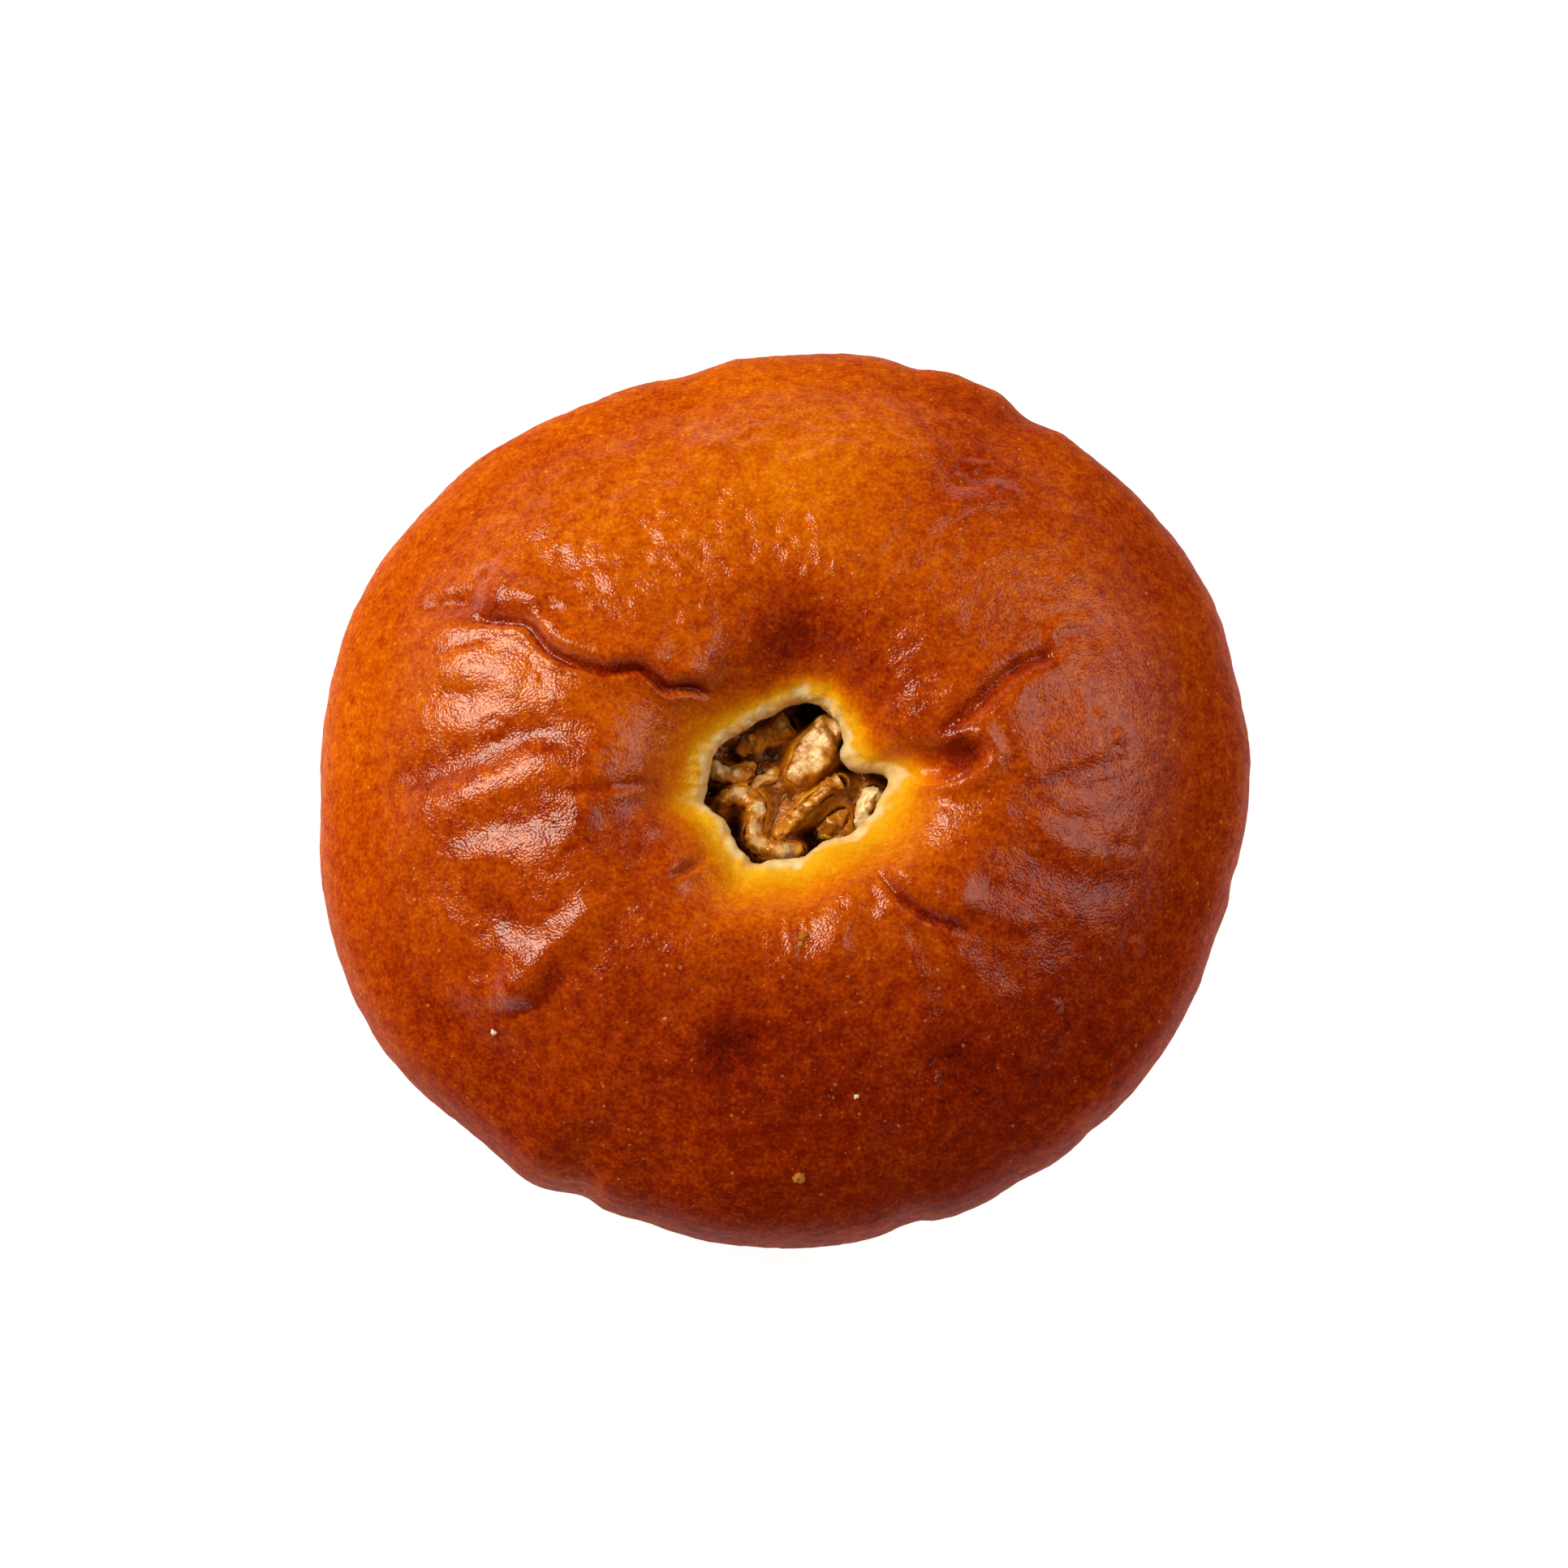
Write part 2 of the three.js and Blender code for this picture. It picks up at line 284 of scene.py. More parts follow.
# Creases: path on the plan, depth, height and width of the bank on the left, and height of the lip.
CREASES = [
    ([(-33.2, 14.8), (-30.7, 14.6), (-28.8, 14.3), (-26.7, 13.8), (-25.5, 12.3), (-24.2, 10.8), (-22.1, 9.6),
      (-20.1, 9.0), (-18.5, 8.5), (-16.5, 8.8), (-14.8, 8.9), (-13.8, 8.3), (-12.8, 7.4), (-12.0, 6.9),
      (-10.4, 7.2), (-8.8, 7.1), (-6.8, 6.2)], 0.8, 1.6, 1.1, 0.3),
    ([(-36.8, 11.2), (-34.3, 11.8), (-31.7, 12.4), (-29.1, 12.6)], 0.05, 0.35, 1.0, 0.1),
    ([(-37.2, 6.8), (-34.2, 6.8), (-31.6, 5.9)], 0.1, 0.4, 1.2, 0.1),
    ([(-12.6, -13.4), (-11.0, -12.5), (-9.4, -11.4), (-7.0, -9.6)], 0.3, 0.6, 0.8, 0.2),
    ([(9.0, -11.6), (10.2, -13.0), (11.9, -15.0), (14.4, -16.9), (16.9, -17.7), (19.8, -18.6)],
     0.35, 1.0, 1.2, 0.2),
    ([(-23.0, -3.9), (-18.8, -3.8), (-16.0, -3.1), (-11.8, -2.2)], 0.1, 0.4, 1.1, 0.1),
    ([(-23.4, -10.9), (-20.4, -9.4), (-17.6, -8.5)], 0.0, 0.5, 1.2, 0.1),
    ([(-30.8, -26.6), (-27.0, -26.2), (-24.2, -24.4), (-21.6, -21.0)], 0.0, 0.8, 1.8, 0.0),
    ([(11.6, 0.3), (12.8, -0.9), (14.0, -2.1), (15.4, -2.6), (17.2, -2.3), (18.9, -1.5), (20.2, 0.2)],
     0.6, -0.2, 1.0, 0.3),
    ([(24.0, -3.9), (27.3, -2.7), (30.5, -1.5), (33.7, -0.7), (35.6, -0.6)], 0.0, 0.35, 1.2, 0.1),
    ([(26.6, -7.0), (30.0, -6.5), (33.6, -6.4)], 0.0, 0.3, 1.0, 0.1),
    ([(31.2, -9.5), (34.6, -9.1), (38.6, -9.0)], 0.0, 0.3, 1.0, 0.1),
]
# Soft folds: path on the plan, height, and width to the left and to the right of the path.
FOLDS = [
    ([(-36.2, 17.8), (-33.6, 18.9), (-31.0, 19.0), (-28.1, 18.0), (-25.0, 16.6)], 0.35, 2.0, 1.1),
    ([(-36.3, 17.0), (-32.2, 16.4), (-28.8, 15.6), (-25.9, 15.2), (-24.2, 15.4)], -0.5, 1.0, 1.1),
    ([(-38.2, -1.4), (-34.0, -0.7), (-30.7, 0.2), (-28.6, 1.4), (-25.7, 2.0), (-22.1, 1.1)], -0.5, 2.2, 1.8),
    ([(-35, 9.8), (-31, 9.3), (-27.4, 7.4), (-24, 6.4)], 0.35, 3.0, 2.6),
    ([(-37, 4.4), (-33, 3.7), (-30, 3.2)], 0.25, 2.2, 2.0),
    ([(-37, -5.4), (-31, -3.2), (-26.4, -1.4), (-22.2, 0.2), (-18, 1.8)], 0.4, 2.2, 2.6),
    ([(-34, -8.6), (-28, -7.4), (-21.2, -7.4), (-17.9, -8.2), (-14, -9.5)], -0.3, 2.2, 1.8),
    ([(-35.6, -8.6), (-32, -9.8), (-29, -9.9)], 0.2, 1.8, 1.8),
    ([(-26.8, -22.4), (-24.4, -20.4), (-22.1, -18.5), (-20.2, -16.6)], 0.5, 1.6, 2.0),
    ([(-31.6, -23.8), (-28, -24.0), (-25.2, -25.0)], 0.45, 1.5, 1.8),
    ([(0.8, -15.5), (1.6, -18.5), (2.0, -22)], -0.12, 0.6, 0.6),
    ([(2.6, -16.5), (2.9, -20)], -0.1, 0.5, 0.5),
    ([(0.1, -16), (0.7, -19), (0.9, -21)], 0.12, 0.6, 0.5),
    ([(5.4, -20), (6.2, -17), (8.2, -13.6)], 0.45, 2.4, 1.4),
    ([(10.4, -11.0), (12.6, -12.8), (15.2, -14.2)], 0.3, 1.4, 1.2),
    ([(10.4, -16.6), (11.8, -19.2), (13.4, -22.6), (14.2, -27)], 0.35, 1.5, 1.0),
    ([(17.4, -20.4), (19.4, -22.8), (21.6, -25.0)], 0.3, 1.8, 1.2),
    ([(18.4, -15.2), (21.4, -16.6), (24, -17.2)], 0.35, 1.8, 1.4),
    ([(16.5, 1.6), (18.4, 2.4), (20.5, 1.9), (21.6, 0.3), (21.0, -1.5), (19.1, -2.9), (17.2, -3.5),
      (15.0, -3.5)], 0.75, 1.2, 0.8),
    ([(15.4, -0.8), (17.4, -0.5), (19.2, 0.2)], -1.1, 1.2, 1.1),
    ([(16.9, 2.8), (18.8, 4.3), (20.7, 6.2), (22.7, 8.1), (25.1, 9.8), (27.1, 10.5)], -0.75, 0.8, 0.9),
    ([(20.4, 3.0), (22.6, 5.0), (24.3, 7.0), (26.0, 9.0)], 0.5, 0.9, 2.4),
    ([(27.8, 12.7), (28.1, 13.7), (29.2, 14.4), (29.8, 14.3)], 0.4, 0.5, 0.5),
    ([(26.0, -7.4), (29.5, -9.0), (32.2, -10.0)], 0.25, 1.2, 1.3),
    ([(26, -11.5), (30, -13.0), (34, -12.6)], -0.25, 1.8, 1.8),
    ([(15.3, 25.5), (19.1, 27.1), (23.4, 28.8)], 0.3, 1.4, 1.0),
    ([(16.0, 44.4), (22.4, 42.7), (27.7, 41.6)], 0.5, 1.6, 1.2),
    ([(17.5, 41.4), (22.4, 39.4), (27.7, 38.4)], -0.35, 1.8, 1.8),
    ([(30.6, -34.4), (32.6, -33.4), (33.6, -30.8)], 0.35, 0.7, 0.9),
    ([(-40, -22), (-34, -27), (-30, -31)], -0.25, 3.0, 3.0),
]
# Broad swells and hollows: middle, height and radius.
SWELLS = [
    ((-36.2, 14.2), 0.4, 2.4), ((-24.8, 22.4), 0.3, 4.5), ((-17, 18), 0.25, 4.0), ((-25.2, 26.4), 0.3, 1.8),
    ((-5.5, -30.4), -0.8, 2.6), ((17.4, -30.9), -0.4, 3.0), ((1.6, 12.8), -0.7, 4.0), ((8.5, 19.3), 0.5, 6.0),
    ((34, 3.8), 0.4, 7.0), ((19, 30.8), -0.35, 4.0), ((-28.8, -16.3), -0.55, 2.6), ((-17.4, -4.4), 0.35, 1.6),
    ((-20.4, -6.2), 0.3, 2.0), ((-9, -15), 0.2, 4.0), ((30, -12), 0.25, 5.0), ((-24, -13), 0.3, 4.0),
]
# Blisters in the skin: middle and radius.
BLISTERS = [
    ((22.2, 29.5), 0.9), ((19.9, 31.9), 0.9), ((18.6, 30.4), 0.7), ((21.4, 32.2), 0.6), ((32.6, 4.6), 0.6),
    ((34.4, 2.3), 0.8), ((34.8, 0.8), 0.6), ((36.7, -18.9), 1.0),
    ((25.5, -9.7), 0.5), ((37.8, -9.1), 0.6), ((38.9, -13.8), 0.7), ((28.0, -25.4), 0.7),
    ((14.9, -31.2), 0.6), ((15.6, -33.1), 0.7), ((-19.7, -40.8), 0.9), ((-15.0, -43.1), 0.7),
    ((-18.4, -39.6), 0.6), ((-29.9, 2.8), 0.8), ((-31.4, 20.0), 0.7), ((-25.6, 8.2), 0.5),
    ((-16.6, -29.0), 0.6), ((-11.9, -27.6), 0.7), ((13.8, 25.2), 0.6),
]
# Dents in the rim: heading in degrees, depth, and width in degrees. A bump's depth is below zero.
RIM_DENTS = [
    (268, -0.75, 20), (95, 0.2, 20), (14, 0.5, 6), (57, 0.6, 3), (72, 0.5, 3), (103, 0.35, 4),
    (142, 0.35, 6), (182, 0.35, 6), (227, 0.5, 7), (237, -0.6, 4), (244, 0.6, 2.5), (253, 0.3, 4),
    (286, 0.8, 3), (301, 0.3, 3), (312, 0.3, 3), (340, 0.4, 4), (349, 0.4, 3),
]

BLISTER_RISE = 0.3  # as a share of its radius
MOAT_DEPTH = 0.12  # of the furrow round a blister
WALL_LEAN = 1.1

lift = np.zeros(len(places))
pooled_wash_and_shade = np.zeros(len(places))  # painted shade in creases and furrows, and egg wash that pooled there and browned darker
for path, *sizes in CREASES:
    stepped, shaded = crease(path, *sizes)
    lift += stepped
    pooled_wash_and_shade = np.maximum(pooled_wash_and_shade, shaded)
for path, height, left_width, right_width in FOLDS:
    fold = ridge(path, height, left_width, right_width)
    lift += fold
    pooled_wash_and_shade = np.maximum(pooled_wash_and_shade, -fold)
for middle, height, radius in SWELLS:
    gap = plan - np.array(middle)
    lift += height * np.exp(-(gap[:, 0] ** 2 + gap[:, 1] ** 2) / radius**2)
for middle, radius in BLISTERS:
    away = np.hypot(plan[:, 0] - middle[0], plan[:, 1] - middle[1])
    moat = MOAT_DEPTH * np.exp(-(((away - 1.3 * radius) / 0.4) ** 2))
    lift += BLISTER_RISE * radius * np.exp(-((away / radius) ** 4)) - moat
lift += 0.3 * ripple(14, 2, 1) + 0.14 * ripple(5, 3, 2)
drawn_in = smooth_step(12, 18, round_radius) * (1 - smooth_step(32, 42, round_radius))
lift += 0.07 * radial_ripple(4.0, 12, 3) * drawn_in
lift *= on_top
# The skin is lumpier behind the navel, where steam lifted it off the dough in small bubbles.
lumpy = np.exp(-(((plan[:, 0] + 7) / 22) ** 2) - ((plan[:, 1] - 25) / 13) ** 2)
lift += ((0.06 + 0.10 * lumpy) * ripple(1.3, 3, 4) + (0.05 + 0.16 * lumpy) * ripple(3.4, 2, 9)) * on_skin
rim = smooth_step(38, 46, round_radius) * on_skin
for crest, depth, width in RIM_DENTS:
    turn = (np.degrees(heading) - crest + 180) % 360 - 180
    lift -= depth * np.exp(-((turn / width) ** 2)) * rim
lift += 0.12 * ripple(3.0, 3, 5) * rim
past_skin = along - skin_end
on_lip = smooth_step(-2.0, 0.5, past_skin) * (1 - smooth_step(3.0, 5.0, past_skin))
lift += (0.28 * ripple(2.2, 2, 6) + 0.14 * ripple(0.8, 2, 8)) * on_lip
# On the upper side of the notch the torn wall leans inwards, so it shows from above.
leaning = np.exp(-(((np.degrees(heading) - 24) / 15) ** 2))
on_wall = smooth_step(0.6, 2.6, past_skin) * (1 - smooth_step(3.6, 6.0, past_skin))
lift += WALL_LEAN * leaning * on_wall
places += normals * lift[:, None]
write_places(dough.data, places)

# Browning runs from 0, pale skin at the navel, to 1, the darkest skin, and it also carries painted shade in
# creases, furrows and hollows. The pale ring round the navel
# is widest at the front and to the right: its heading in degrees, and its width there.
HALO = [
    (0, 3.3), (25, 2.0), (60, 1.2), (95, 1.1), (140, 1.8), (185, 2.4), (225, 3.6), (255, 5.4), (300, 6.4),
    (335, 5.6),
]
# Darker and paler patches of the skin: middle, change of browning, and radius. The darker ones that sit in
# hollows, in the curl by the notch and on the main crease are painted shade; the others are the skin's own
# tone.
BROWN_AND_SHADE_SPOTS = [
    ((1.6, 12.8), 0.18, 5.0), ((20, 30.8), 0.16, 5.0), ((-5.5, -30.4), 0.24, 3.2),
    ((-13, 3), -0.08, 6.0), ((-12, 10), -0.05, 5.0), ((4, 24), -0.06, 9.0), ((12, -20), -0.05, 8.0),
    ((-2, 40), -0.06, 10.0), ((-42, 6), -0.04, 9.0), ((12, 12), 0.06, 6.0), ((17.4, -30.9), 0.12, 3.0),
    ((17, 0), 0.10, 3.0), ((-14, 8.6), 0.08, 3.5), ((-30, 16.4), 0.06, 3.5),
    ((-28.8, -16.3), 0.12, 2.5), ((32, 0), -0.03, 14.0),
]
MIDDLE_BROWN = 0.49
DARK_SIDE_GAIN = 0.16  # the side that browned most is this much darker than the middle
DARK_SIDE_HEADING = 292
HALO_BROWN = 0.05
LOWER_BROWN = 0.36  # of the side near the tray
BASE_BROWN = 0.62

edge_gap = np.clip(round_radius - OUTER_LINE[-1][0], 0, None)
halo_width = np.interp(np.degrees(heading), *zip(*HALO), period=360)
to_dark_side = np.cos(heading - math.radians(DARK_SIDE_HEADING)) * smooth_step(8, 40, round_radius)
brown_and_shade = MIDDLE_BROWN + DARK_SIDE_GAIN * to_dark_side
for middle, amount, radius in BROWN_AND_SHADE_SPOTS:
    gap = plan - np.array(middle)
    brown_and_shade += amount * np.exp(-(gap[:, 0] ** 2 + gap[:, 1] ** 2) / radius**2)
# Painted shade: the skin is darker in creases and furrows, along with egg wash that pooled there.
brown_and_shade += 0.22 * pooled_wash_and_shade * on_top
brown_and_shade += 0.10 * smooth_step(32, 43, round_radius) * np.clip(np.sin(heading), 0, 1)
in_halo = np.exp(-((edge_gap / halo_width) ** 1.6)) * (round_radius < CAVITY_RADIUS)
brown_and_shade += (HALO_BROWN - brown_and_shade) * in_halo
below = 1 - smooth_step(3, 12, places[:, 2])
brown_and_shade += (LOWER_BROWN - brown_and_shade) * below * (round_radius > 38)
brown_and_shade = np.where(along < skin_start, BASE_BROWN, brown_and_shade)
write_share(dough.data, "brown_and_shade", brown_and_shade)
write_share(dough.data, "torn", smooth_step(0.1, 0.7, past_skin + 0.9 * ripple(2.6, 3, 7)))
# Painted shade: the torn wall is darker further down into the navel.
write_share(dough.data, "deep_wall_shade", smooth_step(1.2, 3.2, past_skin))
glaze = 0.02 + 0.12 * (1 - smooth_step(17, 22, places[:, 2])) + 0.78 * smooth_step(25, 31, places[:, 2])
write_share(dough.data, "glaze", glaze)


def add_node(material, kind, values=(), **links):
    """A shader node with its settings, and its inputs given as values or as another node's output."""
    node = material.node_tree.nodes.new(kind)
    for key, value in dict(values).items():
        setattr(node, key, value)
    for key, value in links.items():
        socket = node.inputs[int(key[1:]) if key[0] == "_" and key[1:].isdigit() else key.replace("_", " ")]
        if isinstance(value, bpy.types.NodeSocket):
            material.node_tree.links.new(value, socket)
        else:
            socket.default_value = value
    return node


def colour_ramp(material, factor, stops):
    """A colour ramp through (place, linear colour) stops."""
    node = add_node(material, "ShaderNodeValToRGB", Fac=factor)
    elements = node.color_ramp.elements
    for _ in stops[2:]:
        elements.new(1.0)
    for element, (place, colour) in zip(elements, stops):
        element.position = place
        element.color = (*colour, 1)
    return node.outputs["Color"]


def combine(material, operation, first, second):
    return add_node(material, "ShaderNodeMath", {"operation": operation}, _0=first, _1=second).outputs[0]


def read_map(material, name):
    return add_node(material, "ShaderNodeAttribute", {"attribute_name": name}).outputs["Fac"]


def grain(material, scale, detail, distortion=0.0):
    """Noise of about -0.5 to 0.5 that is fixed to the piece."""
    place = add_node(material, "ShaderNodeTexCoord").outputs["Object"]
    node = add_node(
        material, "ShaderNodeTexNoise", Vector=place, Scale=scale, Detail=detail, Distortion=distortion,
    )
    return combine(material, "SUBTRACT", node.outputs["Fac"], 0.5)


def add_scaled(material, total, part, amount):
    return combine(material, "ADD", total, combine(material, "MULTIPLY", part, amount))


def blend_colours(material, share, first, second):
    node = add_node(material, "ShaderNodeMix", {"data_type": "RGBA"}, _0=share, _6=first, _7=second)
    return node.outputs[2]


def pin_blisters(material, scale, size):
    """A share of 1 on the middles of tiny blisters of mixed sizes, and 0 between them."""
    place = add_node(material, "ShaderNodeTexCoord").outputs["Object"]
    cells = add_node(material, "ShaderNodeTexVoronoi", Vector=place, Scale=scale, Randomness=1.0)
    chance = add_node(material, "ShaderNodeSeparateColor", Color=cells.outputs["Color"]).outputs[0]
    reach = combine(material, "MULTIPLY", combine(material, "POWER", chance, 1.6), size)
    inside = combine(material, "SUBTRACT", reach, cells.outputs["Distance"])
    return add_node(material, "ShaderNodeMapRange", _0=inside, _1=0.0, _2=0.05, _3=0.0, _4=1.0).outputs[0]


def set_relief(material, shader, height, strength):
    bump = add_node(material, "ShaderNodeBump", Strength=strength, Distance=1.0 * MM, Height=height)
    material.node_tree.links.new(bump.outputs["Normal"], shader.inputs["Normal"])
    material.node_tree.links.new(bump.outputs["Normal"], shader.inputs["Coat Normal"])


def bread_crust(material):
    """Egg-washed crust: browning and painted shade from the piece's own map, mottled, with pin blisters and
    fine wrinkles.
    """
    material.use_nodes = True
    tree = material.node_tree
    shader = tree.nodes["Principled BSDF"]
    crumb = read_map(material, "torn")
    mottle, specks = grain(material, 700, 4), grain(material, 2400, 3)
    pins, specks_pale = pin_blisters(material, 760, 0.19), pin_blisters(material, 1500, 0.25)
    mottling = combine(material, "MULTIPLY", grain(material, 90, 3), 0.20)
    mottling = add_scaled(material, mottling, mottle, 0.38)
    mottling = add_scaled(material, mottling, specks, 0.46)
    mottling = add_scaled(material, mottling, pins, -0.14)
    mottling = add_scaled(material, mottling, specks_pale, -0.14)
    brown_and_shade_map = read_map(material, "brown_and_shade")
    calm = add_node(material, "ShaderNodeMapRange", _0=brown_and_shade_map, _1=0.05, _2=0.35, _3=0.3, _4=1.0).outputs[0]
    browning_and_shade = combine(material, "ADD", brown_and_shade_map, combine(material, "MULTIPLY", mottling, calm))
    skin_colour = colour_ramp(material, browning_and_shade, [
        (0.00, (0.99, 0.62, 0.025)), (0.10, (0.97, 0.41, 0.003)), (0.22, (0.85, 0.225, 0.001)),
        (0.36, (0.67, 0.120, 0.001)), (0.50, (0.47, 0.055, 0.001)), (0.64, (0.29, 0.019, 0.001)),
        (0.80, (0.14, 0.007, 0.001)), (1.00, (0.05, 0.002, 0.001)),
    ])
    pale_pins = combine(material, "MULTIPLY", pins, 0.20)
    skin_colour = blend_colours(material, pale_pins, skin_colour, (0.98, 0.56, 0.20, 1))
    lip_colour = colour_ramp(material, combine(material, "ADD", mottle, 0.5), [
        (0.3, (0.94, 0.56, 0.12)), (0.5, (0.97, 0.72, 0.30)), (0.7, (0.98, 0.84, 0.50)),
    ])
    # Painted shade: the crumb further down the torn wall is darker.
    shaded_inner_colour = colour_ramp(material, combine(material, "ADD", mottle, 0.5), [
        (0.3, (0.42, 0.30, 0.14)), (0.7, (0.66, 0.54, 0.32)),
    ])
    crumb_colour = blend_colours(material, read_map(material, "deep_wall_shade"), lip_colour, shaded_inner_colour)
    tree.links.new(blend_colours(material, crumb, skin_colour, crumb_colour), shader.inputs["Base Color"])
    bare = combine(material, "SUBTRACT", 1.0, combine(material, "MULTIPLY", crumb, 0.8))
    glazed = combine(material, "MULTIPLY", bare, read_map(material, "glaze"))
    tree.links.new(glazed, shader.inputs["Coat Weight"])
    shader.inputs["Roughness"].default_value = 0.5
    shader.inputs["Specular IOR Level"].default_value = 0.0
    shader.inputs["Coat Roughness"].default_value = 0.12
    shader.inputs["Coat IOR"].default_value = 1.5
    shader.inputs["Subsurface Weight"].default_value = 0.08
    shader.inputs["Subsurface Radius"].default_value = (1.0, 0.35, 0.08)
    shader.inputs["Subsurface Scale"].default_value = 1.2 * MM
    place = add_node(material, "ShaderNodeTexCoord").outputs["Object"]
    crinkle = add_node(material, "ShaderNodeTexVoronoi", Vector=place, Scale=3300.0, Randomness=1.0)
    height = combine(material, "MULTIPLY", crinkle.outputs["Distance"], -0.042)
    height = add_scaled(material, height, grain(material, 1500, 2, 1.0), 0.04)
    height = add_scaled(material, height, grain(material, 4500, 2), 0.018)
    height = add_scaled(material, height, pins, 0.11)
    height = add_scaled(material, height, specks_pale, 0.04)
    height = add_scaled(material, height, mottle, 0.05)
    set_relief(material, shader, height, 0.9)


bread_crust(crust)

# ---- Stray crumbs ----
# A few flakes of crust and specks of flour that stuck to the glaze as it dried. Each is a small
# rough lump, pressed a little way into the skin, and together they are one piece.
CRUMBS = [
    ((1.6, -42.7), 0.60, 0.02), ((2.3, -42.1), 0.35, 0.06), ((2.0, -18.9), 0.50, 0.0),
    ((1.7, -19.7), 0.30, 0.1), ((-29.7, -28.0), 0.30, 1.0), ((7.2, -34.8), 0.24, 1.0),
]  # place on the plan, radius, and how floury it is
CRUMB_FLATNESS = 0.6

crumb_form = bmesh.new()
floury_layer = crumb_form.verts.layers.float.new("floury")
skin_places = places[(along > skin_start) & (along < skin_end)]
for place, radius, floury in CRUMBS:
    spot = Vector(skin_places[np.linalg.norm(skin_places[:, :2] - place, axis=1).argmin()])
    lump = bmesh.ops.create_icosphere(crumb_form, subdivisions=3, radius=radius)
    for vert in lump["verts"]:
        rough = 1 + 0.7 * noise.fractal(vert.co * 1.8 / radius + spot, 1.0, 2.0, 2)
        vert.co *= rough
        vert.co.z *= CRUMB_FLATNESS
        vert.co = (vert.co + spot) * MM
        vert[floury_layer] = floury
crumb_material = bpy.data.materials.new("dry_crumb")
crumb_material.use_nodes = True
crumb_shader = crumb_material.node_tree.nodes["Principled BSDF"]
crumb_colour = colour_ramp(crumb_material, read_map(crumb_material, "floury"), [
    (0.0, (0.54, 0.16, 0.010)), (1.0, (0.96, 0.86, 0.68)),
])
crumb_material.node_tree.links.new(crumb_colour, crumb_shader.inputs["Base Color"])
crumb_shader.inputs["Roughness"].default_value = 0.6
crumb_shader.inputs["Specular IOR Level"].default_value = 0.15
new_piece("stray_crumbs", crumb_form, crumb_material, "crust")

# ---- Walnut kernels ----
# Broken pieces of walnut kernel, stirred into the syrup of the filling and pressed into its top.
# Skin and syrup make them brown and glossy, and their broken faces are cream.
# Each has its spine, with places on the plan about the navel's centre, and its half width along it.
# Tall is its height as a share of its width, and square makes its section blocky. Cream spots are
# places with a radius, and a cut is a flat broken face: the way it faces, and its distance from the middle.
KERNELS = {
    "walnut_chunk": dict(
        spine=[(0.6, 1.6, 23.1), (2.3, 3.7, 23.5), (4.0, 5.9, 23.4)],
        widths=[1.5, 2.2, 2.0], tall=0.8, square=3.6,
        cream=[(2.3, 3.6, 1.0), (3.0, 4.8, 1.3), (4.6, 6.2, 0.8)],
        cuts=[((-0.35, -0.05, 0.94), 1.25), ((0.93, -0.35, 0.1), 2.1), ((-0.75, 0.55, 0.35), 2.0)],
    ),
    "walnut_rear_lobe": dict(
        spine=[(-5.0, 4.6, 21.6), (-3.1, 5.6, 22.0), (-1.2, 6.5, 22.2)],
        widths=[1.2, 1.2, 1.7], tall=0.85, square=2.0,
        cream=[(-5.2, 5.6, 0.7), (-1.2, 6.6, 0.5)], cuts=[],
    ),
    "walnut_left_lobe": dict(
        spine=[(-8.2, 1.8, 22.2), (-6.4, 1.5, 22.2), (-4.7, 2.0, 21.9)],
        widths=[1.2, 1.1, 0.9], tall=0.9, square=2.2,
        cream=[(-7.9, 2.2, 1.1), (-6.0, 1.6, 0.4)], cuts=[],
    ),
    "walnut_middle_lobe": dict(
        spine=[(-4.2, 0.3, 21.8), (-3.0, 1.1, 22.1), (-1.8, 1.8, 21.9)],
        widths=[0.6, 0.8, 0.7], tall=0.9, square=2.4,
        cream=[(-2.4, 1.7, 0.35)], cuts=[((-0.2, 0.3, 0.93), 0.45)],
    ),
    "walnut_curl": dict(
        spine=[(-8.6, -2.4, 22.2), (-6.8, -1.1, 23.0), (-5.1, -0.8, 23.2), (-3.8, -1.9, 23.2),
               (-4.0, -3.7, 23.0), (-4.2, -5.2, 22.9), (-3.1, -6.5, 22.8), (-1.2, -6.8, 22.9),
               (0.4, -6.6, 22.5)],
        widths=[0.7, 0.95, 1.1, 1.05, 0.95, 1.15, 1.2, 1.45, 0.9], tall=1.0, square=2.3,
        cream=[(-5.6, -0.6, 0.9), (-3.6, -2.2, 0.6), (-4.1, -4.3, 0.8), (-3.6, -6.1, 0.8), (-1.1, -6.9, 1.1)],
        cuts=[],
    ),
    "walnut_sliver": dict(
        spine=[(-1.5, -5.0, 22.6), (0.1, -3.3, 22.9), (1.7, -1.7, 23.1), (3.3, -0.5, 23.3), (4.9, 0.6, 23.4)],
        widths=[0.6, 0.85, 0.8, 0.75, 0.85], tall=1.3, square=3.0,
        cream=[(0.4, -2.9, 0.4), (1.5, -1.9, 0.35), (4.6, 0.7, 0.5), (3.2, -0.3, 0.25)],
        cuts=[((0.8, 0.6, 0.0), 4.1)],
    ),
    "walnut_right_flake": dict(
        spine=[(7.1, -3.4, 22.2), (7.5, -2.1, 22.6), (8.5, -0.6, 22.6)],
        widths=[1.0, 1.0, 1.2], tall=0.9, square=2.3,
        cream=[(7.1, -3.3, 1.1), (8.5, -0.7, 1.0), (7.8, -2.0, 0.5)], cuts=[((-0.4, 0.2, 0.9), 0.75)],
    ),
    "walnut_front_lobe": dict(
        spine=[(3.4, -4.4, 21.3), (4.3, -3.6, 21.6), (5.1, -2.8, 21.5)],
        widths=[1.0, 1.3, 1.0], tall=0.85, square=2.0,
        cream=[], cuts=[],
    ),
}
KERNEL_SIDES = 40
KERNEL_RING_STEP = 0.11


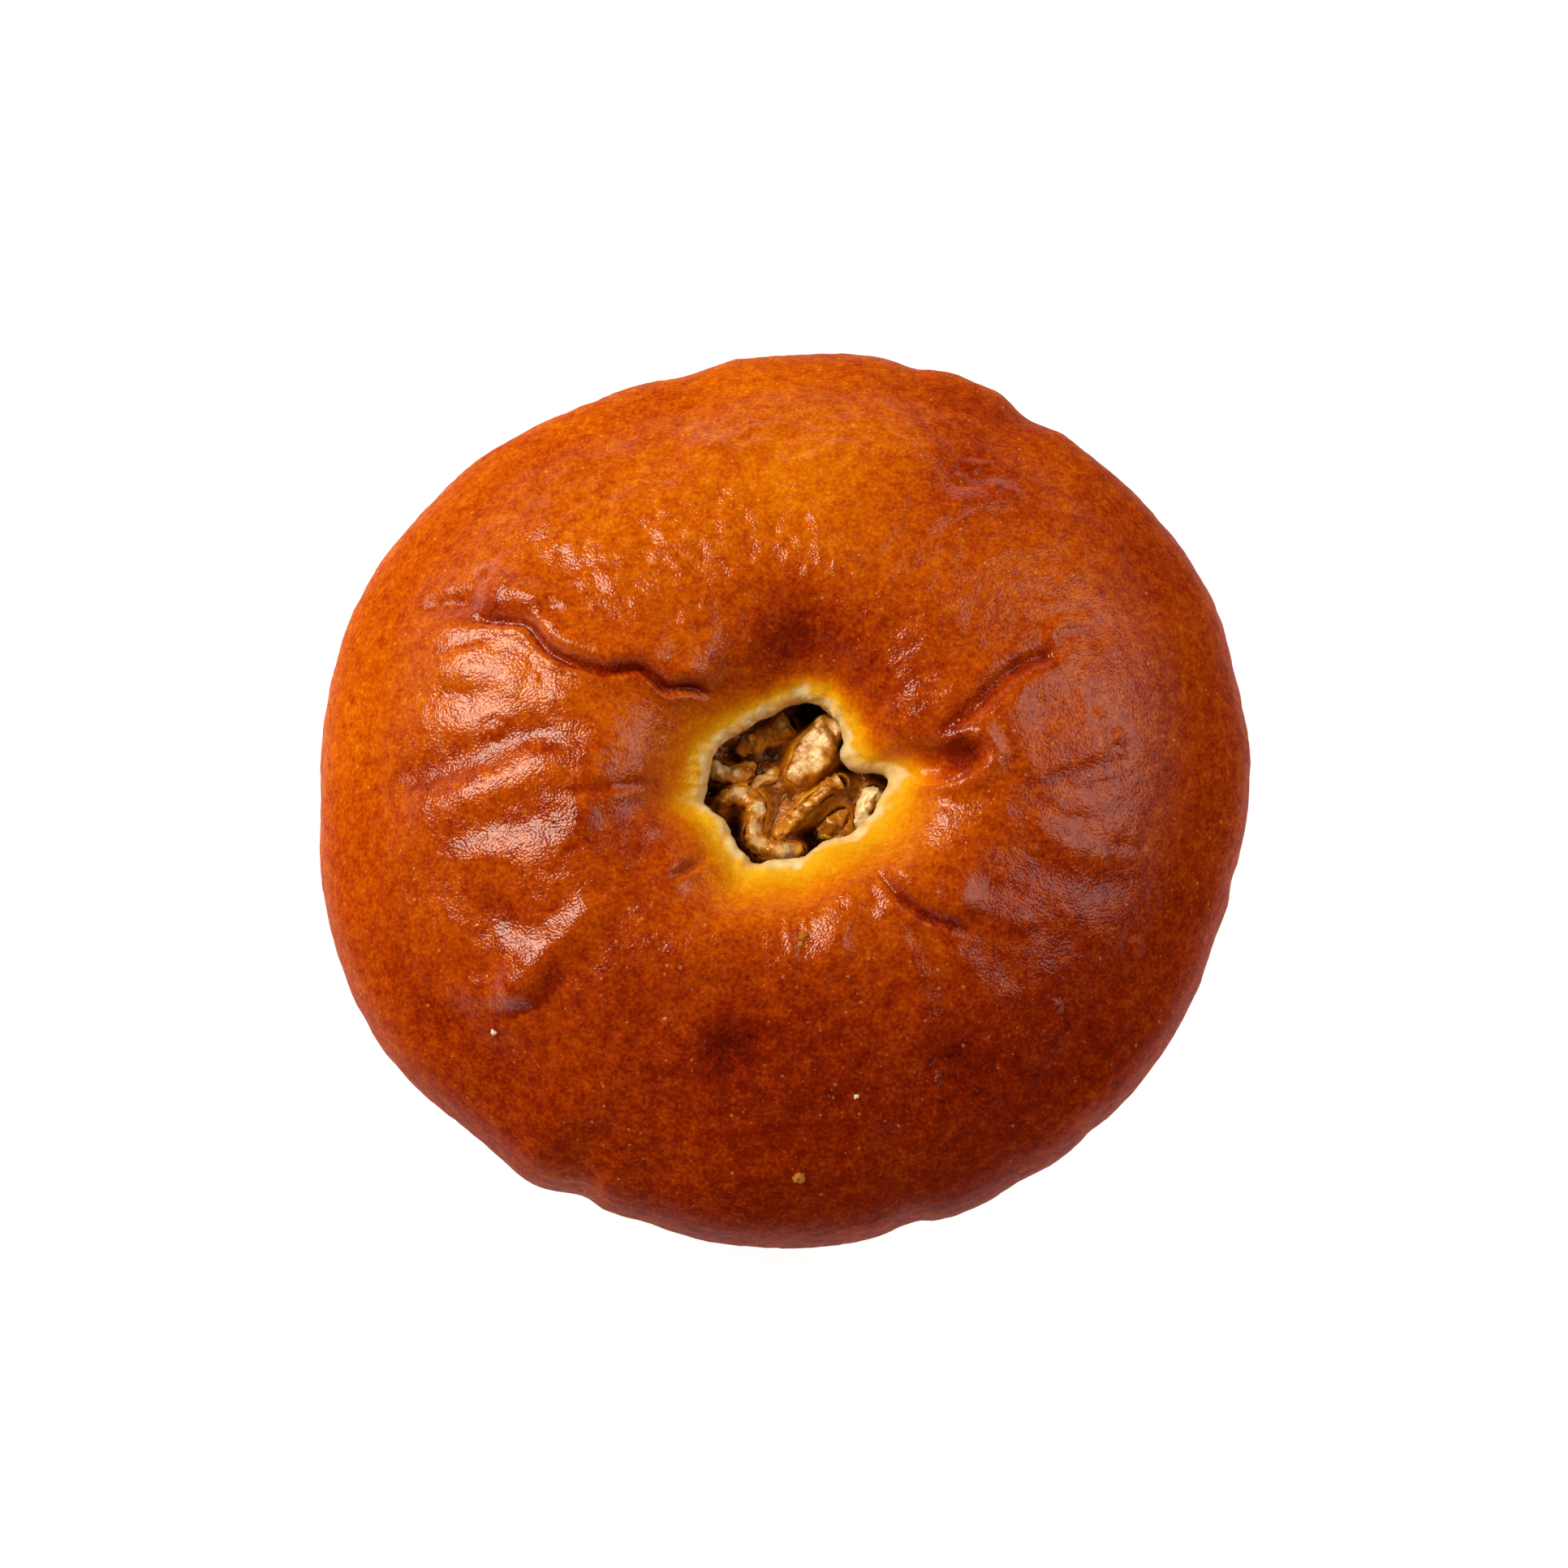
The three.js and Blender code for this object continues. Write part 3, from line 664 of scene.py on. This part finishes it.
def kernel_form(spine, widths, tall, square):
    """A closed lobe round a spine: a sphere whose rings are drawn out along it, with round ends."""
    line = smooth_line(spine, 0.05)
    line[:, :2] += NAVEL_CENTRE
    run = np.concatenate([[0], np.cumsum(np.linalg.norm(np.diff(line, axis=0), axis=1))])
    ahead = np.gradient(line, run, axis=0)
    cap = min(widths[0], widths[-1])
    rings = math.ceil((run[-1] + 2 * cap) / KERNEL_RING_STEP)
    bm = bmesh.new()
    bmesh.ops.create_uvsphere(bm, u_segments=KERNEL_SIDES, v_segments=rings, radius=1)
    for vert in bm.verts:
        turn = math.atan2(vert.co.y, vert.co.x)
        reach = math.acos(max(-1.0, min(1.0, vert.co.z))) / math.pi * (run[-1] + 2 * cap) - cap
        on_spine = min(max(reach, 0.0), run[-1])
        past = reach - on_spine
        middle = np.array([np.interp(on_spine, run, axis) for axis in line.T])
        along_spine = np.array([np.interp(on_spine, run, axis) for axis in ahead.T])
        side = np.cross(along_spine, (0, 0, 1))
        side /= np.linalg.norm(side)
        over = np.cross(side, along_spine)
        width = np.interp(on_spine / run[-1], np.linspace(0, 1, len(widths)), widths)
        width *= math.sqrt(max(0.0, 1 - (past / cap) ** 2))
        blocky = (abs(math.cos(turn)) ** square + abs(math.sin(turn)) ** square) ** (-1 / square)
        across = width * blocky * (math.cos(turn) * side + math.sin(turn) * tall * over)
        vert.co = Vector(middle + past * along_spine + across) * MM
    bmesh.ops.remove_doubles(bm, verts=bm.verts, dist=1e-7)
    bmesh.ops.recalc_face_normals(bm, faces=bm.faces)
    return bm


def break_kernel(piece, spine, cream, cuts, seed):
    """Makes a lobe lumpy, cuts its flat broken faces, and maps where it is cream."""
    spots, out = read_places(piece.data), read_normals(piece.data)
    lumps = np.array([
        0.42 * noise.fractal(spot / 1.7, 1.0, 2.0, 2) + 0.14 * noise.fractal(spot / 0.55, 1.0, 2.0, 3)
        - 0.5 * max(0.0, 0.25 - abs(noise.noise(spot / 1.3)))
        for spot in (Vector(place) + Vector((9.1, 4.7, 3.3)) * seed for place in spots)
    ])
    spots += out * lumps[:, None]
    middle = np.mean(np.array(spine), axis=0) + (*NAVEL_CENTRE, 0)
    broken = np.zeros(len(spots))
    for facing, distance in cuts:
        facing = np.array(facing) / np.linalg.norm(facing)
        excess = (spots - middle) @ facing - distance
        cut = excess > 0
        spots[cut] -= facing * (0.85 * excess[cut])[:, None]
        broken[cut] = np.maximum(broken[cut], np.clip(excess[cut] / 0.4, 0, 0.4))
    for x, y, radius in cream:
        gap = spots[:, :2] - np.array(NAVEL_CENTRE) - (x, y)
        near = 0.8 * np.exp(-(gap**2).sum(axis=1) / radius**2) * smooth_step(-0.2, 0.5, out[:, 2])
        broken = np.maximum(broken, near)
    write_places(piece.data, spots)
    write_share(piece.data, "cream", broken)


def walnut_kernel(material):
    """Brown skin under syrup, and rough cream faces where the piece's own map says it broke."""
    material.use_nodes = True
    shader = material.node_tree.nodes["Principled BSDF"]
    coarse, fine = grain(material, 450, 3, 0.8), grain(material, 2200, 3)
    skin = colour_ramp(material, combine(material, "ADD", coarse, 0.5), [
        (0.30, (0.26, 0.066, 0.003)), (0.50, (0.62, 0.22, 0.012)), (0.70, (0.92, 0.46, 0.050)),
    ])
    flesh = colour_ramp(material, add_scaled(material, 0.5, add_scaled(material, coarse, fine, 0.4), 0.9), [
        (0.25, (0.76, 0.40, 0.10)), (0.5, (0.95, 0.67, 0.30)), (0.75, (0.99, 0.88, 0.58)),
    ])
    ragged = add_scaled(material, read_map(material, "cream"), coarse, 1.1)
    ragged = add_scaled(material, ragged, fine, 0.12)
    share = add_node(material, "ShaderNodeMapRange", _0=ragged, _1=0.22, _2=0.60, _3=0.0, _4=1.0).outputs[0]
    colour = blend_colours(material, share, skin, flesh)
    material.node_tree.links.new(colour, shader.inputs["Base Color"])
    shader.inputs["Roughness"].default_value = 0.3
    shader.inputs["Specular IOR Level"].default_value = 0.5
    shader.inputs["Specular Tint"].default_value = (1.0, 0.72, 0.42, 1)
    shader.inputs["Coat Weight"].default_value = 0.4
    shader.inputs["Coat Roughness"].default_value = 0.12
    shader.inputs["Subsurface Weight"].default_value = 0.15
    shader.inputs["Subsurface Radius"].default_value = (1.0, 0.45, 0.15)
    shader.inputs["Subsurface Scale"].default_value = 0.6 * MM
    height = combine(material, "MULTIPLY", coarse, 0.22)
    height = add_scaled(material, height, fine, 0.06)
    set_relief(material, shader, height, 0.9)


kernel_material = bpy.data.materials.new("syrupy_walnut")
walnut_kernel(kernel_material)
for seed, (node, kernel) in enumerate(KERNELS.items()):
    form = kernel_form(kernel["spine"], kernel["widths"], kernel["tall"], kernel["square"])
    piece = new_piece(node + "_kernel", form, kernel_material, "walnut", node)
    break_kernel(piece, kernel["spine"], kernel["cream"], kernel["cuts"], seed + 1)

# ---- Bean paste ----
# One lens of sweet bean paste, cooked down in syrup until it is brown, glossy and a little clear.
# The dough was folded shut round it, so it fills the hollow, and its sunken top cups the kernels.
PASTE_LINE = [
    (0, 5.3), (12, 5.8), (21.8, 7.4), (27.6, 10.9), (29.6, 16), (27.6, 20.8), (23.8, 24.3), (19, 25.5),
    (15.5, 24.9),
]
PASTE_TOP_LINE = [(15.5, 24.9), (13, 23.5), (10.6, 22.4), (6, 22.0), (0, 21.9)]
PASTE_TURNS = 300
PASTE_TOP_RADIUS = 12.5  # past which the lens stays plain
# Hollows and swells of the paste about the navel's centre: middle, height and radius.
PASTE_SWELLS = [
    ((2.1, -5.6), -2.4, 1.5), ((-5.6, -4.9), -2.6, 1.3), ((-8.2, -0.4), -2.4, 1.2), ((2.0, 7.9), -2.2, 1.8),
    ((-3.4, -8.4), -1.0, 1.0), ((5.6, 2.0), -1.2, 1.2), ((-6.4, 3.4), -1.2, 1.1), ((-2.0, 3.6), -0.6, 1.4),
    ((4.8, -1.8), 0.7, 1.8), ((6.0, -4.2), 0.8, 1.6), ((-1.2, -0.6), 0.35, 1.6), ((3.4, -6.4), -0.7, 0.9),
]
SYRUP_REACH = 0.8  # how far from a kernel the paste starts to climb it
SYRUP_LINE = 0.1  # how far below the middle of a kernel it stops
KERNEL_REST = 0.06  # the paste stops this far under a kernel

paste_wall = smooth_line(PASTE_LINE, 3.0)
paste_top = smooth_line(PASTE_TOP_LINE, 0.17)
bean_syrup = bpy.data.materials.new("bean_paste_syrup")
paste_form = turned(np.vstack([paste_wall[:-1], paste_top]), PASTE_TURNS)
paste = new_piece("bean_paste_filling", paste_form, bean_syrup, "bean_paste", "bean_paste")
paste_places = read_places(paste.data)
paste_radius = np.hypot(paste_places[:, 0], paste_places[:, 1])
paste_top_share = (1 - smooth_step(10.5, PASTE_TOP_RADIUS, paste_radius)) * (paste_places[:, 2] > 18)
paste_places[:, 0], paste_places[:, 1] = real_plan(paste_places[:, 0], paste_places[:, 1])
rise = np.array([0.22 * noise.fractal(spot / 1.6, 1.0, 2.0, 4) for spot in map(Vector, paste_places)])
for middle, height, radius in PASTE_SWELLS:
    gap = paste_places[:, :2] - np.array(NAVEL_CENTRE) - middle
    rise += height * np.exp(-(gap**2).sum(axis=1) / radius**2)
paste_places[:, 2] += rise * paste_top_share
climb = np.zeros(len(paste_places))
ceiling = np.full(len(paste_places), 1e3)
for kernel in KERNELS.values():
    line = smooth_line(kernel["spine"], 0.2)
    shares = np.linspace(0, 1, len(line))
    width = np.interp(shares, np.linspace(0, 1, len(kernel["widths"])), kernel["widths"])
    gap = np.linalg.norm(paste_places[:, None, :2] - NAVEL_CENTRE - line[None, :, :2], axis=2)
    nearest = (gap - width).argmin(axis=1)
    beside = np.clip((gap - width).min(axis=1), 0, None)
    headroom = np.clip(line[nearest, 2] - SYRUP_LINE - paste_places[:, 2], 0, None)
    climb = np.maximum(climb, headroom * np.exp(-((beside / SYRUP_REACH) ** 1.3)))
    belly = np.sqrt(np.clip(1 - (gap / width) ** 2, 0, None)) * width * kernel["tall"]
    underside = np.where(gap < 0.85 * width, line[None, :, 2] - belly - KERNEL_REST, 1e3)
    ceiling = np.minimum(ceiling, underside.min(axis=1))
paste_places[:, 2] += climb * paste_top_share
paste_places[:, 2] = np.minimum(paste_places[:, 2], np.where(paste_top_share > 0, ceiling, 1e3))
write_places(paste.data, paste_places)
# Painted shade: the paste's top is darker the lower it lies, near black in the hollows between the kernels.
write_share(paste.data, "raise_and_shade", paste_top_share * smooth_step(20.4, 24.2, paste_places[:, 2]))


def syrupy_paste(material):
    """Glossy brown paste, painted near black as shade in its hollows, and amber where it stands up thin and
    clear.
    """
    material.use_nodes = True
    shader = material.node_tree.nodes["Principled BSDF"]
    coarse, fine = grain(material, 500, 4), grain(material, 2200, 4)
    paste_tone_and_shade = add_scaled(material, read_map(material, "raise_and_shade"), coarse, 1.2)
    paste_tone_and_shade = add_scaled(material, paste_tone_and_shade, fine, 0.3)
    colour = colour_ramp(material, paste_tone_and_shade, [
        (0.00, (0.02, 0.004, 0.001)), (0.25, (0.09, 0.018, 0.001)), (0.50, (0.28, 0.070, 0.002)),
        (0.75, (0.58, 0.19, 0.005)), (1.00, (0.88, 0.40, 0.016)),
    ])
    material.node_tree.links.new(colour, shader.inputs["Base Color"])
    shader.inputs["Roughness"].default_value = 0.24
    shader.inputs["Specular IOR Level"].default_value = 0.6
    shader.inputs["Specular Tint"].default_value = (1.0, 0.55, 0.22, 1)
    shader.inputs["Coat Weight"].default_value = 0.35
    shader.inputs["Coat Roughness"].default_value = 0.06
    shader.inputs["Subsurface Weight"].default_value = 0.15
    shader.inputs["Subsurface Radius"].default_value = (1.0, 0.4, 0.08)
    shader.inputs["Subsurface Scale"].default_value = 1.0 * MM
    height = combine(material, "MULTIPLY", coarse, 0.4)
    height = add_scaled(material, height, fine, 0.16)
    set_relief(material, shader, height, 0.9)


syrupy_paste(bean_syrup)

# ---- Studio ----
# A white table under the bun, a white room, and two soft boxes, both a little warm: a bright one at
# the rear left and a larger, dimmer one on the right. The camera looks down on the navel.
TABLE_SIZE = 6.0
CAMERA_ELEVATION = 80.0
CAMERA_DISTANCE = 467 * MM
CAMERA_TARGET = Vector((0.0, 0.4 * MM, 14 * MM))


def place_on_sky(heading_degrees, elevation_degrees, distance):
    heading_angle, elevation = math.radians(heading_degrees), math.radians(elevation_degrees)
    level = math.cos(elevation)
    return distance * Vector((
        level * math.cos(heading_angle), level * math.sin(heading_angle), math.sin(elevation),
    ))


def soft_box(name, heading_degrees, elevation_degrees, distance, size, power, colour):
    light = bpy.data.lights.new(name, "AREA")
    light.shape = "RECTANGLE"
    light.size, light.size_y = size
    light.energy = power
    light.color = colour
    lamp = bpy.data.objects.new(name, light)
    lamp.location = place_on_sky(heading_degrees, elevation_degrees, distance)
    lamp.rotation_euler = (-lamp.location).to_track_quat("-Z", "Y").to_euler()
    bpy.context.scene.collection.objects.link(lamp)


soft_box("key_box", 152, 47, 0.9, (0.40, 0.44), 7.7, (1.0, 0.88, 0.70))
soft_box("fill_box", 15, 41, 1.0, (0.7, 0.6), 3.0, (1.0, 0.93, 0.85))

table_material = bpy.data.materials.new("white_table")
table_material.use_nodes = True
table_shader = table_material.node_tree.nodes["Principled BSDF"]
table_shader.inputs["Base Color"].default_value = (0.18, 0.18, 0.18, 1)
table_shader.inputs["Roughness"].default_value = 0.8
table_shader.inputs["Emission Color"].default_value = (1, 1, 1, 1)
table_shader.inputs["Emission Strength"].default_value = 0.97
table_form = bmesh.new()
bmesh.ops.create_grid(table_form, x_segments=1, y_segments=1, size=TABLE_SIZE / 2)
table_mesh = bpy.data.meshes.new("table")
table_form.to_mesh(table_mesh)
table_form.free()
table_mesh.materials.append(table_material)
table = bpy.data.objects.new("table", table_mesh)
bpy.context.scene.collection.objects.link(table)

room = bpy.data.worlds.new("white_room")
bpy.context.scene.world = room
room.use_nodes = True
facing = add_node(room, "ShaderNodeTexCoord").outputs["Generated"]
skyward = add_node(room, "ShaderNodeSeparateXYZ", Vector=facing)
wall_light = colour_ramp(room, skyward.outputs["Z"], [(0.12, (0.9, 0.9, 0.9)), (0.15, (0.02, 0.02, 0.02))])
room.node_tree.links.new(wall_light, room.node_tree.nodes["Background"].inputs["Color"])
bpy.context.scene.view_settings.view_transform = "Standard"

camera_data = bpy.data.cameras.new("camera")
camera_data.lens = 100
camera = bpy.data.objects.new("camera", camera_data)
camera.location = CAMERA_TARGET + place_on_sky(-90, CAMERA_ELEVATION, CAMERA_DISTANCE)
camera.rotation_euler = (CAMERA_TARGET - camera.location).to_track_quat("-Z", "Y").to_euler()
bpy.context.scene.collection.objects.link(camera)
bpy.context.scene.camera = camera
